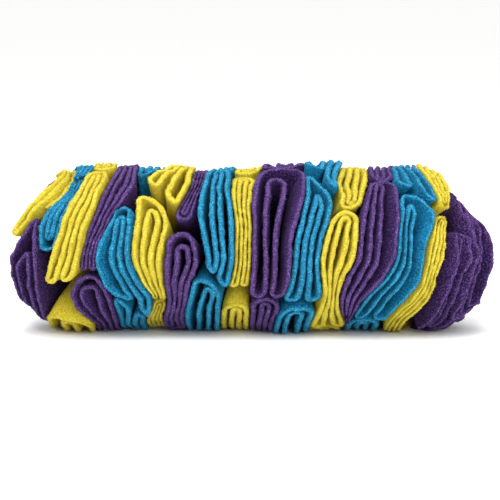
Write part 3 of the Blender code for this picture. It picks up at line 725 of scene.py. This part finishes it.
def turned_up(points, way):
    """Points turned round the middle line, upwards on the front, by a way along their own circle."""
    back, height = points[..., 1], points[..., 2] - AXIS_HEIGHT
    turn = way / np.maximum(np.hypot(back, height), HELD_RADIUS)
    moved = points.copy()
    moved[..., 1] = back * np.cos(turn) + height * np.sin(turn)
    moved[..., 2] = AXIS_HEIGHT + height * np.cos(turn) - back * np.sin(turn)
    return moved


def fleece_grid(spec):
    """Grid of points of a folded round, its painted edge sheen, 1 on the cut edge, and millimetres
    below the edge.

    A point is held + (cut edge - held) * depth, moved half a thickness square to the cloth.
    """
    rim_runs = {}
    rim = edge_line(spec, rim_runs)
    held = edge_line(spec, rim_runs)
    distance = rim_distance(rim[:, 0], rim[:, 1])
    rim_line = to_space(rim[:, 0], rim[:, 1], distance)
    held_line = to_space(held[:, 0], held[:, 1], np.full(len(held), HELD_RADIUS))
    spokes = unit(rim_line - held_line)
    uneven = EDGE_CUT * ripple(rim_line, EDGE_WAVE, EDGE_SEED)
    lower, bow, bow_up = layer_dip(spec, rim[:, 1], rim[:, 3])
    rim_line = rim_line + (spec.reach + uneven - lower - NOSE_OUT)[:, None] * spokes
    slot_left, slot_right = held_slot(spec)
    out = distance - HELD_RADIUS
    upright = out / np.hypot(out, rim[:, 0] - held[:, 0])
    held_thick = np.clip((slot_right - slot_left) / 4 * upright - LAYER_GAP, LEAST_FLEECE, HELD_FLEECE)

    depth = np.concatenate((DEPTH_ROWS, np.ones(len(NOSE_TURNS)), DEPTH_ROWS[::-1]))
    side = np.concatenate((np.ones(len(DEPTH_ROWS)), np.sin(NOSE_TURNS), -np.ones(len(DEPTH_ROWS))))
    past = np.concatenate((0 * DEPTH_ROWS, NOSE_OUT * np.cos(NOSE_TURNS), 0 * DEPTH_ROWS))
    middle = held_line[None] + (rim_line - held_line)[None] * depth[:, None, None]
    bow_share = (BOW_SHARE * depth ** 2 * (1 - depth))[:, None]
    middle[..., 0] += bow * bow_share
    middle = turned_up(middle, bow_up * bow_share)
    along = np.roll(middle, -1, axis=1) - np.roll(middle, 1, axis=1)
    across = unit(np.cross(unit(along), spokes[None]))
    thick = held_thick[None] * (1 - depth[:, None]) + rim[None, :, 2] * depth[:, None]
    points = middle + across * (thick * side[:, None] / 2)[..., None]
    points = points + spokes[None] * past[:, None, None]
    length = np.linalg.norm(rim_line - held_line, axis=1)
    below = (1 - depth[:, None]) * length[None]
    # Painted sheen: highest on the nose of the cut edge, less on its faces, and gone a few millimetres
    # below it.
    painted_edge_sheen = np.exp(-(below / EDGE_SHEEN_DEPTH) ** 2)
    painted_edge_sheen = painted_edge_sheen * (FACE_EDGE_SHEEN + (1 - FACE_EDGE_SHEEN) * np.cos(np.arcsin(side)))[:, None]
    return points, painted_edge_sheen, below


def outward(points):
    """Unit normals of a grid that closes both ways: the cross product of its two directions."""
    along = np.roll(points, -1, axis=1) - np.roll(points, 1, axis=1)
    over = np.roll(points, -1, axis=0) - np.roll(points, 1, axis=0)
    return unit(np.cross(along, over))


def grid_faces(rows, columns):
    """Quads that join each grid point to the next column and the next row, and round to the first."""
    row, column = np.meshgrid(np.arange(rows), np.arange(columns), indexing="ij")
    next_row, next_column = (row + 1) % rows, (column + 1) % columns
    corners = (row * columns + column, row * columns + next_column,
               next_row * columns + next_column, next_row * columns + column)
    return np.stack(corners, axis=-1).reshape(-1, 4)


grid, painted_edge_sheen, _ = fleece_grid(ROUNDS[11])
print("grid of p4_front:", grid.shape[:2], "faces:", len(grid_faces(*grid.shape[:2])))

# %% [markdown]
# ## Loose tufts
# Along the cut edge the pile stands free, and little tufts of it break the outline. A hair system
# would draw real fibres, but they would be lost in an exported model, so each tuft is a tiny closed
# spike of four faces. Its foot is sunk in the cloth, and its tip leans a little at random.

# %% Tufts on the cut edge
TUFTS = 850
TUFT_FOOT = 0.33
TUFT_LENGTH = (0.45, 1.05)
TUFT_LEAN = 0.45
TUFT_SUNK = 0.15
TUFT_REACH = 4.0
# Painted sheen of each tuft, for its three feet and its tip; the tip is painted brightest.
TUFT_PAINTED_SHEEN = (0.6, 0.6, 0.6, 1.6)
CORNERS = np.array(((0, 2, 1), (0, 1, 3), (1, 2, 3), (2, 0, 3)))


def tufts(points, normals, below, seed):
    """Spikes at random grid points near the edge: three feet round each, a tip along the normal."""
    rng = np.random.default_rng(seed)
    chance = np.exp(-(below / TUFT_REACH) ** 2).ravel()
    chosen = rng.choice(chance.size, TUFTS, replace=False, p=chance / chance.sum())
    foot, up = points.reshape(-1, 3)[chosen], normals.reshape(-1, 3)[chosen]
    stray = rng.normal(size=foot.shape)
    side = unit(stray - up * np.sum(stray * up, axis=1, keepdims=True))
    other = np.cross(up, side)
    aside = side * rng.uniform(-1, 1, (TUFTS, 1)) + other * rng.uniform(-1, 1, (TUFTS, 1))
    foot = foot + aside * TUFT_FOOT
    sunk = foot - up * TUFT_SUNK
    ring = [sunk + (side * math.cos(turn) + other * math.sin(turn)) * TUFT_FOOT
            for turn in np.radians((0, 120, 240))]
    height = rng.uniform(*TUFT_LENGTH, (TUFTS, 1))
    tip = foot + up * height + (side + other * rng.uniform(-1, 1, (TUFTS, 1))) * height * TUFT_LEAN
    corners = np.stack((*ring, tip), axis=1)
    faces = CORNERS[None] + 4 * np.arange(TUFTS)[:, None, None]
    return corners.reshape(-1, 3), faces.reshape(-1, 3)


print("triangles of tufts on a round:", TUFTS * 4)

# %% [markdown]
# ## Sixty rounds
# Each row of the table becomes one sheet in place of its plain solid. The normals of the grid say
# which way the cloth faces, and the lumps of the pile are pushed along them, so that both faces and
# the cut edge get them. Three rounds sit in narrow places and have too little cloth for a full
# round, so they are declared as rounds with a part cut away, which the photograph doesn't show.

# %% Make each round
LUMP_REACH = 26.0
FOLD_SHADE_DEPTH = 22.0


def fleece_piece(name, spec, points, faces, painted_edge_sheen, painted_fold_shade):
    """A piece of a round's fleece from points and faces, with its painted edge sheen and painted fold
    shade.
    """
    mesh = bpy.data.meshes.new(name)
    mesh.vertices.add(len(points))
    mesh.vertices.foreach_set("co", (points * MM).ravel())
    mesh.loops.add(faces.size)
    mesh.loops.foreach_set("vertex_index", faces.ravel())
    mesh.polygons.add(len(faces))
    mesh.polygons.foreach_set("loop_start", np.arange(len(faces)) * faces.shape[1])
    mesh.polygons.foreach_set("use_smooth", np.ones(len(faces), dtype=bool))
    mesh.update(calc_edges=True)
    mesh.attributes.new("painted_edge_sheen", "FLOAT", "POINT").data.foreach_set("value", painted_edge_sheen)
    mesh.attributes.new("painted_fold_shade", "FLOAT", "POINT").data.foreach_set("value", painted_fold_shade)
    mesh.materials.append(FLEECE_OF[spec.colour])
    piece = bpy.data.objects.new(name, mesh)
    bpy.context.scene.collection.objects.link(piece)
    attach(piece, "root")
    return piece


def fleece_sheet(number, spec):
    """One folded round with its tufts, made as a sheet of cloth in place of its plain solid."""
    points, painted_edge_sheen, below = fleece_grid(spec)
    points = gather(sway(points))
    normals = outward(points)
    free = np.exp(-(below / LUMP_REACH) ** 2)
    for seed, (height, wave) in enumerate(LUMPS):
        lump = ripple(points, wave, LUMP_SEED + seed) * height * free
        points = points + normals * lump[..., None]
    points[..., 2] = np.maximum(points[..., 2], 0.0)
    spikes, spike_faces = tufts(points, outward(points), below, number)
    spikes[:, 2] = np.maximum(spikes[:, 2], 0.0)
    faces = grid_faces(*points.shape[:2])
    # Painted shade grows with the depth below the cut edge.
    painted_fold_shade = np.clip(below / FOLD_SHADE_DEPTH, 0, 1)
    piece = fleece_piece("fleece_" + spec.name, spec, points.reshape(-1, 3), faces,
                         painted_edge_sheen.ravel(), painted_fold_shade.ravel())
    # The tufts get painted sheen and no painted shade.
    tuft_sheen = np.tile(TUFT_PAINTED_SHEEN, TUFTS)
    edge = fleece_piece("tufts_" + spec.name, spec, spikes, spike_faces, tuft_sheen, 0 * tuft_sheen)
    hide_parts(spec.name)
    return len(faces) * 2 + len(spike_faces)


triangles = [fleece_sheet(number, spec) for number, spec in enumerate(ROUNDS)]
print("triangles in all:", sum(triangles), "most in one round:", max(triangles))
